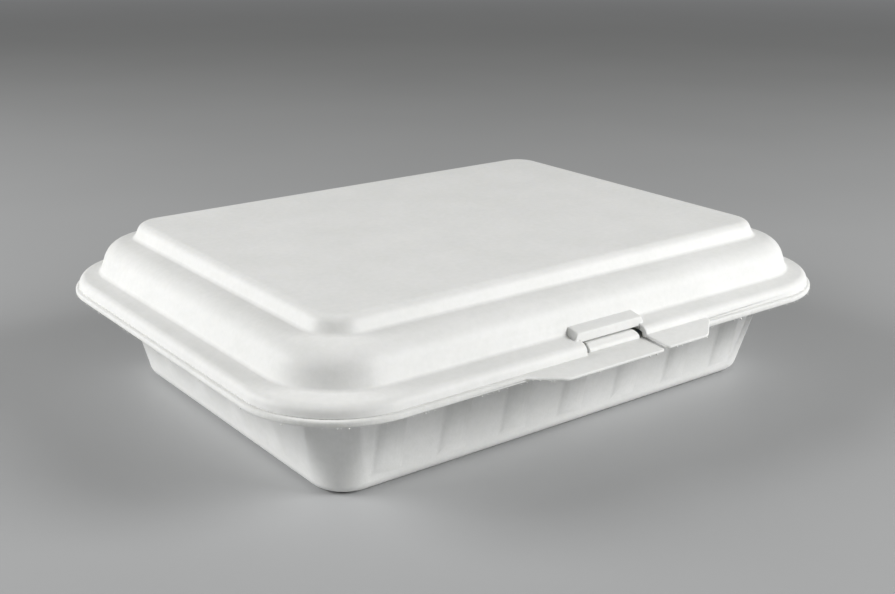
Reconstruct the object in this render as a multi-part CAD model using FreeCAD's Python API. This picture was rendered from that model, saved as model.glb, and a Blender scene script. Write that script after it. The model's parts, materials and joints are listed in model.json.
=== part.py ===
import FreeCAD, Part
import math
import os

# A hinged take-away container, thermoformed from one sheet of foam: a ribbed tray
# and a stepped lid, joined along the back. Millimetres, +Z up. The origin is on the
# table under the middle of the tray. The front, with its lock, faces -Y.

# Sheet
sheet = 2.2                      # thickness of the foam
pressed = 1.1                    # thickness where it is pressed: lips, hood edge, hinge strip

# Plan of the rim
rim_length = 240.0
rim_width = 187.6
panel_corner = 7.0               # corner radius of the lid's flat top panel

# Tray, from the rim's outer edge inwards and from the table upwards
rim_top = 36.8                   # height of the plane where tray and lid meet
rim_ledge = 17.6                 # width of the flange outside the wall
wall_taper = 7.2                 # how far the wall leans in, from flange to table
wall_corner = 13.5               # corner radius of the wall, the same at every height
rim_fillet = 3.5                 # inside, between flange and wall
floor_fillet = 5.0               # outside, between wall and floor

# Lid, from the rim's edge inwards and from the plane of the rim upwards
skirt_setback = 1.2              # the skirt stands back from the rim's edge
skirt_lean = 0.7
skirt_height = 3.6
skirt_fillet = 3.2
ledge_width = 7.4                # gently rising ledge above the skirt
ledge_rise = 1.5
step_lean = 3.5                  # the tall step
step_height = 10.0
shoulder_fillet = 9.0
shelf_width = 9.6                # the sloping shelf on top of the step
shelf_rise = 2.1
tier_lean = 2.5                  # the low tier that carries the top panel
tier_height = 5.4
tier_fillet = 3.8
least_inside = 4.0               # smaller roundings inside the lid are left sharp

# Ribs that stiffen the tray's walls
rib_pitch = 25.5
rib_width = 12.0
long_ribs = 7                    # on each long wall
short_ribs = 4
rib_height = 1.1                 # on the long walls
side_rib_height = 0.45           # on the short walls
rib_foot_gap = 0.8               # from the floor's inner fillet up to the ribs' feet
rib_fade = 6.0                   # length over which a rib's foot dies away
root_depth = 9.0                 # how deep a rib's block reaches behind its flanks

# Lock at the middle of the front
slot_half_width = 13.2
slot_depth = 5.2                 # from the rim's edge back to the hood's front edge
hood_rise = 3.2                  # from the hood's front edge up to where it meets the step
hood_run = 5.1
hood_flare = 3.0                 # how far the foot of each end face leans out
tongue_gap = 0.9                 # at each end of the tongue, in the slot
tongue_setback = 2.8             # from the rim's edge to the tongue's front
tongue_back = 11.4               # from the rim's edge to its back, under the hood
tongue_clearance = 0.5           # between the tongue's top and the hood
tongue_round = 1.5
tongue_inner_round = 0.4

# Lips for the thumbs: the tray's on the left, the lid's on the right
lip_reach = 7.8
tab_reach = 8.6
lip_front = 30.0                 # from the middle to the outer front corner
lip_root = 40.5                  # from the middle to where the slanted side meets the rim
tab_front = 32.5
tab_root = 42.5
lip_corner = 5.0
lip_inner_corner = 1.2
lip_gap = 0.4                    # between the two lips
lip_droop = 5.0                  # degrees

# Values worked out from the driving dimensions
half_length = rim_length / 2
half_width = rim_width / 2
rim_bottom = rim_top - sheet
tier_turn = math.atan2(tier_height, tier_lean)
panel_inset = (skirt_setback + skirt_lean + ledge_width + step_lean + shelf_width + tier_lean
               + tier_fillet * math.tan(tier_turn / 2))
rim_corner = panel_inset + panel_corner
inner_x = half_length - rim_corner
inner_y = half_width - rim_corner
overlap = sheet / 2              # how far joined pieces reach into each other
tiny = 0.001                     # for telling heights and edges apart
inner_floor_fillet = floor_fillet - sheet
wall_inset = rim_ledge + wall_taper
wall_slope = math.hypot(wall_taper, rim_bottom)
wall_up = (wall_taper / wall_slope, rim_bottom / wall_slope)
wall_across = sheet / wall_up[1]  # the sheet's thickness along the level
ledge_start = skirt_setback + skirt_lean
hood_front = (slot_depth, rim_top + skirt_height + ledge_rise * (slot_depth - ledge_start) / ledge_width)
tongue_top = hood_front[1] - pressed - tongue_clearance


def vec(x, y, z):
    return FreeCAD.Vector(x, y, z)


# Helpers for profiles

def end_shift(point, normal, distance):
    """The other corner of a sheet's end, which is cut upright or level."""
    x, z, fillet = point
    if abs(normal[1]) > abs(normal[0]):
        return x, z + distance / normal[1], fillet
    return x + distance / normal[0], z, fillet


def offset_line(points, distance):
    """Points (x, z, fillet) of a parallel line, on the left of the way they run."""
    normals = []
    for (x0, z0, _), (x1, z1, _) in zip(points[:-1], points[1:]):
        length = math.hypot(x1 - x0, z1 - z0)
        normals.append(((z0 - z1) / length, (x1 - x0) / length))
    moved = [end_shift(points[0], normals[0], distance)]
    for (x, z, fillet), a, b in zip(points[1:-1], normals[:-1], normals[1:]):
        scale = distance / (1 + a[0] * b[0] + a[1] * b[1])
        left_turn = a[0] * b[1] - a[1] * b[0] > 0
        parallel = fillet - distance if left_turn else fillet + distance
        moved.append((x + (a[0] + b[0]) * scale, z + (a[1] + b[1]) * scale,
                      parallel if parallel > least_inside else 0))
    moved.append(end_shift(points[-1], normals[-1], distance))
    return moved


def rounded_face(corners, place):
    """A flat face through corners (a, b, fillet); place turns (a, b) into a point."""
    points = [place(a, b) for a, b, _ in corners]
    ends = []
    arcs = []
    for i, here in enumerate(points):
        before = (points[i - 1] - here).normalize()
        after = (points[(i + 1) % len(points)] - here).normalize()
        fillet = corners[i][2]
        half = before.getAngle(after) / 2
        reach = fillet / math.tan(half)
        ends.append((here + before * reach, here + after * reach))
        middle = (before + after).normalize()
        crest = here + middle * (fillet / math.sin(half) - fillet)
        arcs.append(Part.Arc(ends[i][0], crest, ends[i][1]).toShape() if fillet > 0 else None)
    edges = []
    for i, arc in enumerate(arcs):
        if arc:
            edges.append(arc)
        edges.append(Part.makeLine(ends[i][1], ends[(i + 1) % len(arcs)][0]))
    return Part.Face(Part.Wire(edges))


def joined(pieces):
    return pieces[0].multiFuse(pieces[1:]).removeSplitter()


def half_space(point, inward, size):
    """A large block with one face through point, lying on the side that inward points to."""
    block = Part.makeBox(2 * size, 2 * size, size, vec(-size, -size, 0))
    block.Placement = FreeCAD.Placement(point, FreeCAD.Rotation(vec(0, 0, 1), inward))
    return block


# Forms carried round the rim

def from_axis(points):
    """Points given by their inset from the rim's edge, as distances from the corner's axis."""
    return [(rim_corner - inset, z, fillet) for inset, z, fillet in points]


def turned_form(line):
    """The block inside a profile carried round the rim: four sides, four corners, a core."""
    floor = line[0][1]
    roof = line[-1][1]
    corners = [(0, floor, 0)] + line + [(0, roof, 0)]
    section = rounded_face(corners, lambda x, z: vec(x, 0, z))
    pieces = [Part.makeBox(2 * inner_x, 2 * inner_y, roof - floor, vec(-inner_x, -inner_y, floor))]
    quarters = ((inner_x, inner_y, 0, inner_y), (-inner_x, inner_y, 90, inner_x),
                (-inner_x, -inner_y, 180, inner_y), (inner_x, -inner_y, 270, inner_x))
    for x, y, angle, half in quarters:
        corner = section.revolve(vec(0, 0, 0), vec(0, 0, 1), 90)
        side = section.extrude(vec(0, -2 * half, 0))
        for piece in (corner, side):
            piece.rotate(vec(0, 0, 0), vec(0, 0, 1), angle)
            piece.translate(vec(x, y, 0))
            pieces.append(piece)
    return joined(pieces)


# Tray

def basin(shrink, low, high):
    """The block inside the tray's four leaning walls, its slanting edges rounded."""
    block = Part.makeBox(rim_length, rim_width, high - low, vec(-half_length, -half_width, low))
    for side in (-1, 1):
        for point, inward in ((vec(side * (half_length - wall_inset - shrink), 0, 0),
                               vec(-side * wall_up[1], 0, wall_up[0])),
                              (vec(0, side * (half_width - wall_inset - shrink), 0),
                               vec(0, -side * wall_up[1], wall_up[0]))):
            block = block.common(half_space(point, inward, rim_length))
    slanting = [edge for edge in block.Edges if edge.BoundBox.ZLength > tiny]
    return block.makeFillet(wall_corner - shrink, slanting)


def rim_plate(low, high):
    x, y = half_length, half_width
    corners = [(x, y, rim_corner), (-x, y, rim_corner), (-x, -y, rim_corner), (x, -y, rim_corner)]
    return rounded_face(corners, lambda a, b: vec(a, b, low)).extrude(vec(0, 0, high - low))


def softened(shape, z, fillet):
    """Rounds the edges of the basin at one height."""
    edges = [edge for edge in shape.Edges
             if all(abs(v.Z - z) < tiny and abs(v.X) < half_length - tiny
                    and abs(v.Y) < half_width - tiny for v in edge.Vertexes)]
    return shape.makeFillet(fillet, edges)


def tray_outside():
    body = joined([basin(0, 0, rim_bottom), rim_plate(rim_bottom, rim_top)])
    return softened(body, 0, floor_fillet)


def tray_inside():
    body = joined([basin(wall_across, sheet, rim_top), rim_plate(rim_top, rim_top + overlap)])
    return softened(softened(body, rim_top, rim_fillet), sheet, inner_floor_fillet)


def rib_feet():
    """Height of the ribs' lower ends, above the fillet inside the floor."""
    return sheet + inner_floor_fillet * (1 - wall_up[0]) + rib_foot_gap


def rib(height, grow, half_span):
    """A shallow round ridge on the front wall, at X = 0, with the block behind it that is
    twice as wide. It is the ridge's outside, or its inside if it shrinks by the sheet."""
    up = vec(0, -wall_up[0], wall_up[1])
    out = vec(0, -wall_up[1], -wall_up[0])
    foot = vec(0, wall_inset - half_span, 0)
    radius = (rib_width ** 2 / 4 + height ** 2) / (2 * height)
    round_radius = radius + grow
    centre = foot - out * (radius - height)
    left = centre + out * math.sqrt(round_radius ** 2 - rib_width ** 2) - vec(rib_width, 0, 0)
    right = left + vec(2 * rib_width, 0, 0)
    crest = centre + out * round_radius
    low_left = left - out * root_depth
    low_right = right - out * root_depth
    edges = [Part.Arc(left, crest, right).toShape(), Part.makeLine(right, low_right),
             Part.makeLine(low_right, low_left), Part.makeLine(low_left, left)]
    bar = Part.Face(Part.Wire(edges)).extrude(up * (wall_slope + sheet))
    feet = rib_feet()
    fade_start = foot + up * (feet / wall_up[1]) + out * grow
    fade = (up * height - out * rib_fade).normalize()
    size = 2 * rim_top
    roof = rim_bottom + overlap if grow == 0 else rim_bottom - sheet
    bar = bar.common(half_space(fade_start, fade, size))
    bar = bar.common(half_space(vec(0, foot.y, feet - rib_foot_gap / 2), vec(0, 0, 1), size))
    return bar.common(half_space(vec(0, foot.y, roof), vec(0, 0, -1), size))


def rib_row(count, height, grow, half_span, angle):
    """One wall's ribs, evenly spaced about its middle."""
    one = rib(height, grow, half_span)
    row = []
    for i in range(count):
        copy = one.copy()
        copy.translate(vec((i - (count - 1) / 2) * rib_pitch, 0, 0))
        copy.rotate(vec(0, 0, 0), vec(0, 0, 1), angle)
        row.append(copy)
    return row


def all_ribs(grow):
    rows = []
    for angle in (0, 180):
        rows += rib_row(long_ribs, rib_height, grow, half_width, angle)
    for angle in (90, 270):
        rows += rib_row(short_ribs, side_rib_height, grow, half_length, angle)
    return rows


def tongue_form(inset, fillet, low, high):
    """The pad of the tongue, round at its front and at both ends."""
    half = slot_half_width - tongue_gap - inset
    front = -(half_width - tongue_setback) + inset
    back = -(half_width - tongue_back) - inset
    ends = rounded_face([(-half, low, 0), (half, low, 0), (half, high, fillet),
                         (-half, high, fillet)], lambda a, b: vec(a, front, b))
    bar = ends.extrude(vec(0, back - front, 0))
    side = rounded_face([(front, low, 0), (front, high - fillet, fillet),
                         (-(half_width - slot_depth) + inset, high, fillet), (back, high, 0),
                         (back, low, 0)], lambda a, b: vec(-half, a, b))
    return bar.common(side.extrude(vec(2 * half, 0, 0)))


def lip(inner, outer, far, reach, low, root):
    """A pressed lip in front of the rim: one side square, the other slanted, drooping a little."""
    edge = -half_width
    corners = [(inner, edge + root, 0), (inner, edge - reach, lip_inner_corner),
               (outer, edge - reach, lip_corner), (far, edge, 0), (far, edge + root, 0)]
    plate = rounded_face(corners, lambda a, b: vec(a, b, low)).extrude(vec(0, 0, pressed))
    plate.rotate(vec(0, edge, low), vec(1, 0, 0), lip_droop)
    return plate


def make_tray():
    thumb_lip = lip(slot_half_width - lip_gap, -lip_front, -lip_root, lip_reach,
                    rim_top - pressed, overlap)
    thumb_lip = thumb_lip.common(half_space(vec(0, 0, rim_top), vec(0, 0, -1), rim_length))
    body = joined([tray_outside(), thumb_lip] + all_ribs(0))
    body = body.cut(Part.makeCompound([tray_inside()] + all_ribs(-sheet)))
    pad = tongue_form(0, tongue_round, rim_top - overlap, tongue_top)
    hollow = tongue_form(sheet, tongue_inner_round, rim_bottom - overlap, tongue_top - sheet)
    return joined([body, pad]).cut(hollow)


# Lid

def lid_face():
    """The outer face, from the foot of the skirt upwards and inwards to the top panel."""
    inset = skirt_setback
    z = rim_top
    points = [(inset, z, 0)]
    for run, rise, fillet in ((skirt_lean, skirt_height, skirt_fillet),
                              (ledge_width, ledge_rise, 0),
                              (step_lean, step_height, shoulder_fillet),
                              (shelf_width, shelf_rise, 0),
                              (tier_lean, tier_height, tier_fillet)):
        inset += run
        z += rise
        points.append((inset, z, fillet))
    return from_axis(points)


def lid_inside():
    top = lid_face()[-1][1]
    inner = offset_line(lid_face() + [(0, top, 0)], sheet)[:-1]
    foot = (inner[0][0], rim_top - overlap, 0)
    return turned_form([foot, (foot[0], rim_top, 0)] + inner[1:])


def hood(front_half, back_half, foot_half, lift, low):
    """A wedge from the slot's back edge up to the step, with leaning end faces."""
    front, front_z = hood_front
    back = front + hood_run + sheet
    back_z = front_z + hood_rise * (hood_run + sheet) / hood_run
    y0 = -(half_width - front)
    y1 = -(half_width - back)
    near = [vec(-front_half, y0, low), vec(front_half, y0, low),
            vec(front_half, y0, front_z - lift), vec(-front_half, y0, front_z - lift)]
    far = [vec(-foot_half, y1, low), vec(foot_half, y1, low),
           vec(back_half, y1, back_z - lift), vec(-back_half, y1, back_z - lift)]
    wires = [Part.makePolygon(points + points[:1]) for points in (near, far)]
    return Part.makeLoft(wires, True, True)


def make_lid():
    tab = lip(slot_half_width, tab_front, tab_root, tab_reach, rim_top, skirt_setback + overlap)
    strip = Part.makeBox(2 * inner_x, skirt_setback + overlap, pressed,
                         vec(-inner_x, half_width - skirt_setback - overlap, rim_top))
    half = slot_half_width
    cover = hood(half + pressed, half + pressed, half + pressed + hood_flare, 0,
                 hood_front[1] - sheet)
    body = joined([turned_form(lid_face()), tab, strip, cover])
    room = hood(half, half - overlap, half - overlap, pressed, rim_top - overlap)
    slot = Part.makeBox(2 * half, slot_depth + overlap, skirt_height + ledge_rise + sheet,
                        vec(-half, -half_width - overlap, rim_top - overlap))
    return body.cut(lid_inside()).cut(room).cut(slot)


os.makedirs("parts", exist_ok=True)
for name, make in (("tray", make_tray), ("lid", make_lid)):
    shape = make()
    solid = shape.Solids[0]
    print(name, "solids", len(shape.Solids), "valid", solid.isValid(),
          "volume %.0f" % solid.Volume, "faces", len(solid.Faces))
    solid.exportStep("parts/%s.step" % name)
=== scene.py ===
import bmesh
import bpy
import json
import math
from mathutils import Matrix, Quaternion, Vector


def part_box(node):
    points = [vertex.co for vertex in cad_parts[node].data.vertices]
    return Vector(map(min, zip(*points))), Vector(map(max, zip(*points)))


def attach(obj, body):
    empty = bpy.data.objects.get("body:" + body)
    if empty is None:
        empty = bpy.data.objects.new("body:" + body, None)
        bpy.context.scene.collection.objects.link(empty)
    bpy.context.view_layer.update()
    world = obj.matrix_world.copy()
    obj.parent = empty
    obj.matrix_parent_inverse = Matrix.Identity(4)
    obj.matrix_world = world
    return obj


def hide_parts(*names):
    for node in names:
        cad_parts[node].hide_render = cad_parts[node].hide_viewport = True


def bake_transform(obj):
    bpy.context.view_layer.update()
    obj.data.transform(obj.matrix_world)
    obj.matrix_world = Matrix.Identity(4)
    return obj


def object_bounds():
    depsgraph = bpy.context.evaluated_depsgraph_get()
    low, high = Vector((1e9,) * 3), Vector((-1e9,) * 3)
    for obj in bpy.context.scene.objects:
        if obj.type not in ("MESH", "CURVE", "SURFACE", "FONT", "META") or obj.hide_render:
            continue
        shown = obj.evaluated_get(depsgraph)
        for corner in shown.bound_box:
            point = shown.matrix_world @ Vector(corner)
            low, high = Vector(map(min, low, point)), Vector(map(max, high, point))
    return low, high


# A hinged foam container: a ribbed tray and a stepped lid with a snap lock, formed from
# one sheet. Metres. The CAD nodes give the shape. This script softens their die-cut
# edges and creases, raises the hood's front, frays the cuts, folds the hinge line and
# gives the foam its grain.

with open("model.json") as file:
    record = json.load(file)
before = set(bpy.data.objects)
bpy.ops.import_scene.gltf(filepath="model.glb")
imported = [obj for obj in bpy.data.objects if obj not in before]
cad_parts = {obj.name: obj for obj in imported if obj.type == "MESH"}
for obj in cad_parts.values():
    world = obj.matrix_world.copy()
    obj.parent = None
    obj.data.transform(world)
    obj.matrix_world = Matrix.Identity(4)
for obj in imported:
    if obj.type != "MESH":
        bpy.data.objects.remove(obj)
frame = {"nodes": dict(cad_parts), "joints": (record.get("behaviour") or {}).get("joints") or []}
cad_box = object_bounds()
nodes = frame["nodes"]
hinge = frame["joints"][0]

# Foam
pressed = 0.0011                 # thickness of the pressed parts: lips and hood
cut_round = 0.00040              # rounding along a die-cut edge of the pressed parts
rim_round = 0.00080              # and along the tray's thicker rim
crease_round = 0.00095           # rounding along the lid's creases
round_steps = 3                  # faces across a rounding
cut_angle = math.radians(38)     # a convex edge that turns more than this was cut
crease_angles = (math.radians(45), math.radians(63))  # what the lid's creases turn by
flat_angle = math.radians(0.5)   # triangles that meet flatter than this are one face
doubles = 0.000002               # reach for merging the loose corners of the CAD mesh
shortest = 0.00018               # edges shorter than this would pinch the rounding
cut_reach = pressed / 4          # a face this near the rim's outline is part of the cut
upright = 0.35                   # a normal that rises less than this is an upright face's
underside = -0.8                 # a normal below this is an underside's

# Rim: its size and height from the frame, its corner radius as in the part's source
rim_half_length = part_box("tray")[1].x
rim_half_width = hinge["pos_m"][1]
rim_top = hinge["pos_m"][2]
rim_corner = 0.03433

# Lock: depths run from the rim's front edge to the back, heights up from what is below
ledge_start = 0.0019
ledge_height = 0.0036            # from the rim up to where the ledge starts
ledge_slope = 1.5 / 7.4          # its rise over its depth
slot_half_width = 0.0132
slot_depth = 0.0052
hood_back = 0.0104
hood_height = 0.0023             # how far the hood stands above the ledge
hood_half_width = 0.0144
hood_foot = 0.0012               # how far the foot of each end leans out
hood_skin = 0.0001               # how far its front stands before the slot's edge
hood_round = 0.0005
bedded = 0.0005                  # how deep its foot sits in the ledge
foot_edge = bedded / 4           # how thick its foot ends
tongue_end = 0.0105              # the rounded ends of the tongue are past this half width
tongue_back = hood_back + 0.002  # the tongue ends before this depth
tongue_drawn = (0.0013, 0.0006)  # how far its left and right ends draw in from the slot

# Frayed cuts
fray_spacing = 0.0011
fray_share = 0.55                # how many of the places along a cut hold a torn cell
fray_small = 0.00008
fray_large = 0.00034

# Hinge fold
fold_half_length = rim_half_length - rim_corner
fold_radius = 0.00046
fold_spacing = 0.0006            # between the rings of the roll
fold_wrinkle = 0.0035            # from one wrinkle to the next

# Grain of the foam
grain_size = 0.0022
cloud_size = 0.019               # soft patches
cloud_depth = 0.00035
pale_and_dark = (0.34, 0.64)     # where the mottled tone is fully dark and fully pale
gloss_swing = (0.06, 0.08)       # how far the roughness goes below and above its middle

# Studio
backdrop = (0.24, 0.243, 0.25, 1)
table_reach = 4.0                # from the middle to each side
fade_start, fade_end = 0.7, 2.4  # where the table starts to fade and is backdrop only


# Materials

def new_material(name):
    material = bpy.data.materials.new(name)
    material.use_nodes = True
    tree = material.node_tree
    tree.nodes.clear()
    output = tree.nodes.new("ShaderNodeOutputMaterial")
    shader = tree.nodes.new("ShaderNodeBsdfPrincipled")
    tree.links.new(shader.outputs["BSDF"], output.inputs["Surface"])
    return material, tree, shader


def node(tree, kind, values=None, **settings):
    """A node of the tree, its settings made and its sockets filled by name or number."""
    made = tree.nodes.new(kind)
    for key, value in settings.items():
        setattr(made, key, value)
    for key, value in (values or {}).items():
        made.inputs[key].default_value = value
    return made


def link(tree, source, output, target, socket):
    tree.links.new(source.outputs[output], target.inputs[socket])


def colour_ramp(tree, first, last, start=0.0, end=1.0):
    """A ramp from the first colour at the start to the last colour at the end."""
    ramp = node(tree, "ShaderNodeValToRGB")
    for element, colour, position in zip(ramp.color_ramp.elements, (first, last), (start, end)):
        element.position = position
        element.color = colour
    return ramp


def foam(name, light, shade, bead, bead_depth, roughness):
    """Closed-cell foam: fine flattened beads, a faint cloudiness and a soft skin."""
    material, tree, shader = new_material(name)
    place = node(tree, "ShaderNodeTexCoord")
    beads = node(tree, "ShaderNodeTexVoronoi", {"Scale": 1 / bead, "Randomness": 1.0},
                 feature="SMOOTH_F1")
    grain = node(tree, "ShaderNodeTexNoise", {"Scale": 1 / grain_size, "Detail": 4.0,
                                              "Roughness": 0.6})
    cloud = node(tree, "ShaderNodeTexNoise", {"Scale": 1 / cloud_size, "Detail": 3.0,
                                              "Roughness": 0.5})
    for texture in (beads, grain, cloud):
        link(tree, place, "Object", texture, "Vector")
    tone = node(tree, "ShaderNodeMix", {"Factor": 0.5}, data_type="FLOAT")
    link(tree, cloud, "Fac", tone, "A")
    link(tree, grain, "Fac", tone, "B")
    ramp = colour_ramp(tree, (*shade, 1), (*light, 1), *pale_and_dark)
    link(tree, tone, "Result", ramp, "Fac")
    link(tree, ramp, "Color", shader, "Base Color")
    gloss = node(tree, "ShaderNodeMapRange", {"To Min": roughness - gloss_swing[0],
                                              "To Max": roughness + gloss_swing[1]})
    link(tree, grain, "Fac", gloss, "Value")
    link(tree, gloss, "Result", shader, "Roughness")
    fine = node(tree, "ShaderNodeBump", {"Strength": 0.5, "Distance": bead_depth})
    link(tree, beads, "Distance", fine, "Height")
    soft = node(tree, "ShaderNodeBump", {"Strength": 0.6, "Distance": cloud_depth})
    link(tree, cloud, "Fac", soft, "Height")
    link(tree, fine, "Normal", soft, "Normal")
    link(tree, soft, "Normal", shader, "Normal")
    shader.inputs["Specular IOR Level"].default_value = 0.32
    shader.inputs["Subsurface Weight"].default_value = 0.12
    shader.inputs["Subsurface Radius"].default_value = (0.0022, 0.0021, 0.0018)
    shader.inputs["Subsurface Scale"].default_value = 1.0
    return material


skin = foam("white foam skin", light=(0.93, 0.93, 0.915), shade=(0.865, 0.87, 0.85),
            bead=0.00085, bead_depth=0.00004, roughness=0.5)
cut = foam("cut foam edge", light=(0.93, 0.93, 0.91), shade=(0.80, 0.805, 0.78),
           bead=0.0005, bead_depth=0.00010, roughness=0.72)


# Shells: a merged copy of each CAD node with its cuts and creases softened

def finished(obj):
    """The object with its modifiers made part of its mesh."""
    graph = bpy.context.evaluated_depsgraph_get()
    mesh = bpy.data.meshes.new_from_object(obj.evaluated_get(graph), depsgraph=graph)
    obj.modifiers.clear()
    old = obj.data
    obj.data = mesh
    bpy.data.meshes.remove(old)
    mesh.name = obj.name
    return obj


def softened(obj, width, **settings):
    """The object with rounded edges, and shading that keeps its flat faces flat."""
    bevel = obj.modifiers.new("soft edges", "BEVEL")
    bevel.width = width
    bevel.segments = round_steps
    bevel.use_clamp_overlap = False
    for key, value in settings.items():
        setattr(bevel, key, value)
    weighted = obj.modifiers.new("flat faces stay flat", "WEIGHTED_NORMAL")
    weighted.keep_sharp = True
    return obj


def new_object(name, data):
    obj = bpy.data.objects.new(name, data)
    bpy.context.scene.collection.objects.link(obj)
    return obj


def rim_inset(point):
    """How far inside the rim's outline a point lies, seen from above."""
    x = max(abs(point.x) - (rim_half_length - rim_corner), 0)
    y = max(abs(point.y) - (rim_half_width - rim_corner), 0)
    return rim_corner - math.hypot(x, y)


def on_outline(point):
    """True on the rim's cut outline and on the lips in front of it."""
    return rim_inset(point) < cut_reach


def on_thick_rim(point):
    """True on the tray's part of the outline, where the foam has its full thickness."""
    return abs(rim_inset(point)) < cut_reach and point.z < rim_top + doubles


def clean_form(source):
    """The CAD node's mesh, merged, its flat faces whole and its pinched edges gone."""
    form = bmesh.new()
    form.from_mesh(nodes[source].data)
    bmesh.ops.remove_doubles(form, verts=form.verts, dist=doubles)
    bmesh.ops.dissolve_degenerate(form, edges=form.edges, dist=doubles)
    bmesh.ops.dissolve_limit(form, angle_limit=flat_angle, verts=form.verts, edges=form.edges)
    bmesh.ops.remove_doubles(form, verts=form.verts, dist=shortest)
    bmesh.ops.dissolve_degenerate(form, edges=form.edges, dist=doubles)
    form.normal_update()
    return form


def draw_in_tongue(form):
    """Moves the ends of the tongue towards its middle, which widens the gaps beside it."""
    for corner in form.verts:
        at = corner.co
        above_rim = at.z > rim_top - doubles
        if above_rim and ledge_start < rim_half_width + at.y < tongue_back:
            if tongue_end < abs(at.x) < slot_half_width:
                at.x += tongue_drawn[0] if at.x < 0 else -tongue_drawn[1]


def mark_edges(form):
    """Weighs the rounding of cuts and creases, and marks the lower edges that fray."""
    rounding = form.edges.layers.float.new("bevel_weight_edge")
    frays = form.edges.layers.bool.new("frays")
    for edge in form.edges:
        turn = edge.calc_face_angle()
        if edge.is_convex and turn > cut_angle:
            middle = (edge.verts[0].co + edge.verts[1].co) / 2
            thick = all(on_thick_rim(corner.co) for corner in edge.verts)
            edge[rounding] = (rim_round if thick else cut_round) / crease_round
            lowest = min(face.normal.z for face in edge.link_faces)
            edge[frays] = lowest < underside and middle.z < rim_top and on_outline(middle)
        elif not edge.is_convex and crease_angles[0] < turn < crease_angles[1]:
            edge[rounding] = 1.0


def shell(name, source):
    """The CAD node's form with soft edges, its die-cut band in the cut foam's material."""
    form = clean_form(source)
    if source == "tray":
        draw_in_tongue(form)
    mark_edges(form)
    mesh = bpy.data.meshes.new(name)
    mesh.materials.append(skin)
    mesh.materials.append(cut)
    for face in form.faces:
        face.smooth = True
        is_cut = abs(face.normal.z) < upright and on_outline(face.calc_center_median())
        face.material_index = int(is_cut)
    form.to_mesh(mesh)
    form.free()
    return softened(new_object(name, mesh), crease_round, limit_method="WEIGHT",
                    miter_outer="MITER_ARC")


def hood_block():
    """The hood's raised front over the slot, its ends leaning out to their feet."""
    near = -(rim_half_width - slot_depth) - hood_skin
    far = -(rim_half_width - hood_back)
    ledge = [rim_top + ledge_height + ledge_slope * (depth - ledge_start)
             for depth in (slot_depth, hood_back)]
    tops = [height + hood_height for height in ledge]
    feet = [height - bedded for height in ledge]
    foot_tops = [foot + foot_edge for foot in feet]
    over_slot = [ledge[0] - pressed, tops[1] - pressed]

    # A station is an x with its lower and upper heights, each at the front and at the back
    stations = [(-hood_half_width - hood_foot, feet, foot_tops),
                (-hood_half_width, feet, tops),
                (-slot_half_width - hood_skin, feet, tops),
                (-slot_half_width + hood_skin, over_slot, tops)]
    stations += [(-x, low, high) for x, low, high in reversed(stations)]
    corners = []
    for x, low, high in stations:
        corners += [(x, near, low[0]), (x, near, high[0]), (x, far, high[1]), (x, far, low[1])]
    last = len(corners) - 4
    faces = [(0, 1, 2, 3), (last + 3, last + 2, last + 1, last)]
    for start in range(0, last, 4):
        for n in range(4):
            after = (n + 1) % 4
            faces.append((start + n, start + n + 4, start + after + 4, start + after))
    mesh = bpy.data.meshes.new("hood_block")
    mesh.from_pydata(corners, [], faces)
    mesh.materials.append(skin)
    form = bmesh.new()
    form.from_mesh(mesh)
    bmesh.ops.recalc_face_normals(form, faces=form.faces)
    for face in form.faces:
        face.smooth = True
    form.to_mesh(mesh)
    form.free()
    return finished(softened(new_object("hood_block", mesh), hood_round, angle_limit=cut_angle))


# Geometry Nodes

def new_tree(name, sizes):
    """An empty tree with named inputs. Gives the tree, its ends and the inputs' identifiers."""
    tree = bpy.data.node_groups.new(name, "GeometryNodeTree")
    tree.interface.new_socket("Geometry", in_out="INPUT", socket_type="NodeSocketGeometry")
    identifiers = {}
    for label, kind in sizes:
        socket = tree.interface.new_socket(label, in_out="INPUT", socket_type="NodeSocket" + kind)
        identifiers[label] = socket.identifier
    tree.interface.new_socket("Geometry", in_out="OUTPUT", socket_type="NodeSocketGeometry")
    return tree, tree.nodes.new("NodeGroupInput"), tree.nodes.new("NodeGroupOutput"), identifiers


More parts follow.
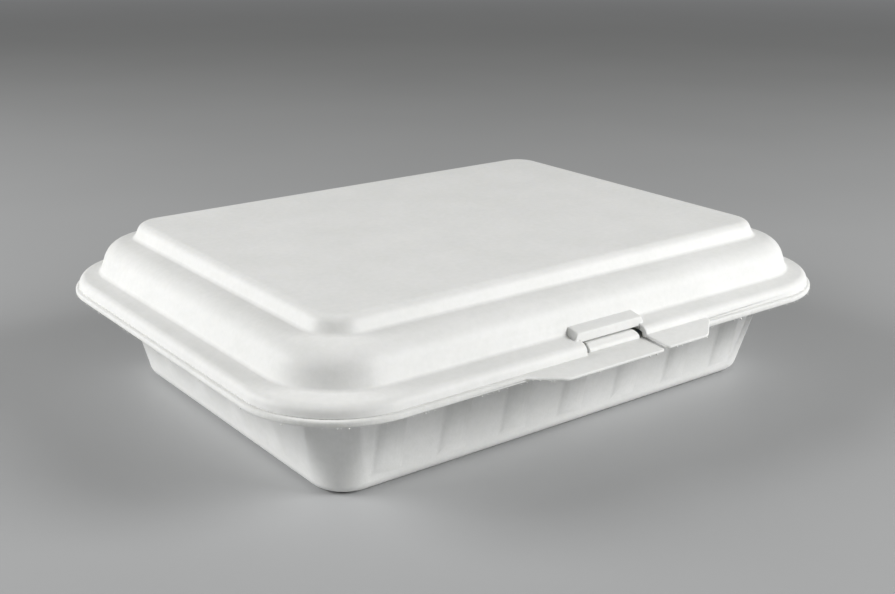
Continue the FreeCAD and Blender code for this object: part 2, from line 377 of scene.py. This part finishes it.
def fray_tree():
    """Torn foam cells strung along the marked edges, kept inside the given box."""
    tree, given, result, identifiers = new_tree("frayed cut", (
        ("Spacing", "Float"), ("Share", "Float"), ("Small", "Float"), ("Large", "Float"),
        ("Lowest", "Vector"), ("Highest", "Vector"), ("Seed", "Int"), ("Material", "Material")))
    marked = node(tree, "GeometryNodeInputNamedAttribute", {"Name": "frays"}, data_type="BOOLEAN")
    path = node(tree, "GeometryNodeMeshToCurve")
    link(tree, given, "Geometry", path, "Mesh")
    link(tree, marked, "Attribute", path, "Selection")
    even = node(tree, "GeometryNodeResampleCurve", mode="LENGTH")
    link(tree, path, "Curve", even, "Curve")
    link(tree, given, "Spacing", even, "Length")
    chosen = node(tree, "FunctionNodeRandomValue", data_type="BOOLEAN")
    link(tree, given, "Share", chosen, "Probability")
    link(tree, given, "Seed", chosen, "Seed")
    size = node(tree, "FunctionNodeRandomValue", data_type="FLOAT")
    link(tree, given, "Seed", size, "Seed")
    rare = node(tree, "ShaderNodeMath", {1: 3.0}, operation="POWER")
    link(tree, size, "Value", rare, 0)
    radius = node(tree, "ShaderNodeMapRange")
    link(tree, rare, "Value", radius, "Value")
    link(tree, given, "Small", radius, "To Min")
    link(tree, given, "Large", radius, "To Max")
    shape = node(tree, "FunctionNodeRandomValue", {"Min": (0.7, 0.7, 0.4),
                                                   "Max": (1.7, 1.7, 0.9)},
                 data_type="FLOAT_VECTOR")
    link(tree, given, "Seed", shape, "Seed")
    scale = node(tree, "ShaderNodeVectorMath", operation="SCALE")
    link(tree, shape, "Value", scale, 0)
    link(tree, radius, "Result", scale, "Scale")
    spin = node(tree, "FunctionNodeRandomValue", {"Min": (-0.5, -0.5, 0.0),
                                                  "Max": (0.5, 0.5, math.tau)},
                data_type="FLOAT_VECTOR")
    link(tree, given, "Seed", spin, "Seed")
    turn = node(tree, "FunctionNodeEulerToRotation")
    link(tree, spin, "Value", turn, "Euler")
    cell = node(tree, "GeometryNodeMeshIcoSphere", {"Radius": 1.0, "Subdivisions": 1})
    strung = node(tree, "GeometryNodeInstanceOnPoints")
    link(tree, even, "Curve", strung, "Points")
    link(tree, chosen, "Value", strung, "Selection")
    link(tree, cell, "Mesh", strung, "Instance")
    link(tree, turn, "Rotation", strung, "Rotation")
    link(tree, scale, "Vector", strung, "Scale")
    real = node(tree, "GeometryNodeRealizeInstances")
    link(tree, strung, "Instances", real, "Geometry")
    place = node(tree, "GeometryNodeInputPosition")
    above = node(tree, "ShaderNodeVectorMath", operation="MAXIMUM")
    link(tree, place, "Position", above, 0)
    link(tree, given, "Lowest", above, 1)
    below = node(tree, "ShaderNodeVectorMath", operation="MINIMUM")
    link(tree, above, "Vector", below, 0)
    link(tree, given, "Highest", below, 1)
    kept = node(tree, "GeometryNodeSetPosition")
    link(tree, real, "Geometry", kept, "Geometry")
    link(tree, below, "Vector", kept, "Position")
    smooth = node(tree, "GeometryNodeSetShadeSmooth")
    link(tree, kept, "Geometry", smooth, "Geometry")
    coat = node(tree, "GeometryNodeSetMaterial")
    link(tree, smooth, "Geometry", coat, "Geometry")
    link(tree, given, "Material", coat, "Material")
    link(tree, coat, "Geometry", result, "Geometry")
    return tree, identifiers


def fold_tree():
    """A thin wrinkled roll of foam from Start to End, of uneven thickness."""
    tree, given, result, identifiers = new_tree("hinge fold", (
        ("Start", "Vector"), ("End", "Vector"), ("Spacing", "Float"), ("Radius", "Float"),
        ("Wrinkle", "Float"), ("Material", "Material")))
    line = node(tree, "GeometryNodeCurvePrimitiveLine")
    link(tree, given, "Start", line, "Start")
    link(tree, given, "End", line, "End")
    even = node(tree, "GeometryNodeResampleCurve", mode="LENGTH")
    link(tree, line, "Curve", even, "Curve")
    link(tree, given, "Spacing", even, "Length")
    place = node(tree, "GeometryNodeInputPosition")
    pitch = node(tree, "ShaderNodeMath", {0: 1.0}, operation="DIVIDE")
    link(tree, given, "Wrinkle", pitch, 1)
    waves = node(tree, "ShaderNodeTexNoise", {"Detail": 2.0})
    link(tree, place, "Position", waves, "Vector")
    link(tree, pitch, "Value", waves, "Scale")
    thickness = node(tree, "ShaderNodeMapRange", {"From Min": 0.3, "From Max": 0.7,
                                                 "To Min": 0.72, "To Max": 1.0})
    link(tree, waves, "Fac", thickness, "Value")
    ring = node(tree, "GeometryNodeCurvePrimitiveCircle", {"Resolution": 10})
    link(tree, given, "Radius", ring, "Radius")
    roll = node(tree, "GeometryNodeCurveToMesh", {"Fill Caps": True})
    link(tree, even, "Curve", roll, "Curve")
    link(tree, ring, "Curve", roll, "Profile Curve")
    link(tree, thickness, "Result", roll, "Scale")
    smooth = node(tree, "GeometryNodeSetShadeSmooth")
    link(tree, roll, "Mesh", smooth, "Geometry")
    real = node(tree, "GeometryNodeRealizeInstances")
    link(tree, smooth, "Geometry", real, "Geometry")
    coat = node(tree, "GeometryNodeSetMaterial")
    link(tree, real, "Geometry", coat, "Geometry")
    link(tree, given, "Material", coat, "Material")
    link(tree, coat, "Geometry", result, "Geometry")
    return tree, identifiers


def grown(name, mesh, grower, values):
    """A new object whose mesh is what the tree makes of the given mesh and values."""
    tree, identifiers = grower
    obj = new_object(name, mesh.copy())
    modifier = obj.modifiers.new(tree.name, "NODES")
    modifier.node_group = tree
    for label, value in values.items():
        modifier[identifiers[label]] = value
    return finished(obj)


# Pieces: a frayed edge grows along the marks of the unrounded shell, so it comes first

fray = fray_tree()
for name, seed in (("tray", 3), ("lid", 8)):
    rough = shell(name + "_shell", name)
    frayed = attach(grown(name + "_frayed_edge", rough.data, fray, {
        "Spacing": fray_spacing, "Share": fray_share, "Small": fray_small, "Large": fray_large,
        "Lowest": cad_box[0], "Highest": cad_box[1], "Seed": seed, "Material": cut}), name)
    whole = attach(finished(rough), name)
    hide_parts(name)

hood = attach(hood_block(), "lid")

fold_y = rim_half_width - fold_radius
fold = grown("hinge_fold", bpy.data.meshes.new("hinge_fold"), fold_tree(), {
    "Start": (-fold_half_length, fold_y, rim_top), "End": (fold_half_length, fold_y, rim_top),
    "Spacing": fold_spacing, "Radius": fold_radius, "Wrinkle": fold_wrinkle, "Material": skin})
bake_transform(fold)


# Table, lamps and world

def seen_backdrop(tree):
    """A glow of the backdrop's colour, and its share, which only the camera's rays get."""
    ray = node(tree, "ShaderNodeLightPath")
    share = node(tree, "ShaderNodeMath", {1: 1.0}, operation="MULTIPLY")
    link(tree, ray, "Is Camera Ray", share, 0)
    return node(tree, "ShaderNodeEmission", {"Color": backdrop, "Strength": 1.0}), share


def floor():
    """A pale table that fades into the backdrop for the camera, and lights nothing by it."""
    mesh = bpy.data.meshes.new("floor")
    corners = [(x * table_reach, y * table_reach, 0) for x, y in ((-1, -1), (1, -1), (1, 1), (-1, 1))]
    mesh.from_pydata(corners, [], [(0, 1, 2, 3)])
    material, tree, shader = new_material("pale table")
    place = node(tree, "ShaderNodeTexCoord")
    cloud = node(tree, "ShaderNodeTexNoise", {"Scale": 6.0, "Detail": 2.0})
    link(tree, place, "Object", cloud, "Vector")
    ramp = colour_ramp(tree, (0.43, 0.435, 0.44, 1), (0.47, 0.475, 0.48, 1))
    link(tree, cloud, "Fac", ramp, "Fac")
    link(tree, ramp, "Color", shader, "Base Color")
    shader.inputs["Roughness"].default_value = 0.55
    glow, share = seen_backdrop(tree)
    reach = node(tree, "ShaderNodeVectorMath", operation="LENGTH")
    link(tree, place, "Object", reach, 0)
    far = node(tree, "ShaderNodeMapRange", {"From Min": fade_start, "From Max": fade_end},
               interpolation_type="SMOOTHSTEP")
    link(tree, reach, "Value", far, "Value")
    link(tree, far, "Result", share, 1)
    mixed = node(tree, "ShaderNodeMixShader")
    link(tree, share, "Value", mixed, "Fac")
    link(tree, shader, "BSDF", mixed, 1)
    link(tree, glow, "Emission", mixed, 2)
    link(tree, mixed, "Shader", tree.nodes["Material Output"], "Surface")
    mesh.materials.append(material)
    new_object("floor", mesh)


def softbox(name, azimuth, elevation, distance, width, height, power):
    """A soft lamp that looks at the container; azimuth is measured from +X towards +Y."""
    data = bpy.data.lights.new(name, "AREA")
    data.shape = "RECTANGLE"
    data.size = width
    data.size_y = height
    data.energy = power
    turn, rise = math.radians(azimuth), math.radians(elevation)
    level = math.cos(rise)
    away = Vector((math.cos(turn) * level, math.sin(turn) * level, math.sin(rise)))
    obj = new_object(name, data)
    obj.location = away * distance + Vector((0, 0, rim_top))
    obj.rotation_euler = (-away).to_track_quat("-Z", "Y").to_euler()


def studio_world():
    """A faint even light from all round, behind which the camera sees the backdrop."""
    world = bpy.data.worlds.new("studio")
    bpy.context.scene.world = world
    world.use_nodes = True
    tree = world.node_tree
    fill = tree.nodes["Background"]
    fill.inputs["Color"].default_value = (1.0, 1.0, 0.95, 1)
    fill.inputs["Strength"].default_value = 0.12
    glow, share = seen_backdrop(tree)
    mixed = node(tree, "ShaderNodeMixShader")
    link(tree, share, "Value", mixed, "Fac")
    link(tree, fill, "Background", mixed, 1)
    link(tree, glow, "Emission", mixed, 2)
    link(tree, mixed, "Shader", tree.nodes["World Output"], "Surface")


floor()
softbox("left softbox", azimuth=150, elevation=25, distance=1.1, width=0.6, height=0.5, power=10.2)
softbox("right softbox", azimuth=-52, elevation=26, distance=1.15, width=0.6, height=0.5, power=11.7)
studio_world()


# Camera, fitted to the photo

image_width = 895
focal_pixels = 1256.7            # focal length in pixels of that width
sensor = 36.0                    # in millimetres, like the lens
eye = Vector((-0.27542, -0.36317, 0.18249))
yaw = math.radians(37.24)
pitch = math.radians(18.62)
roll = math.radians(0.30)
camera_data = bpy.data.cameras.new("camera")
camera_data.sensor_width = sensor
camera_data.lens = focal_pixels * sensor / image_width
camera_data.clip_start = 0.01
camera = new_object("camera", camera_data)
level = math.cos(pitch)
look = Vector((math.sin(yaw) * level, math.cos(yaw) * level, -math.sin(pitch)))
camera.location = eye
camera.rotation_euler = (look.to_track_quat("-Z", "Y") @ Quaternion((0, 0, 1), roll)).to_euler()
bpy.context.scene.camera = camera

bpy.context.scene.view_settings.view_transform = "Standard"
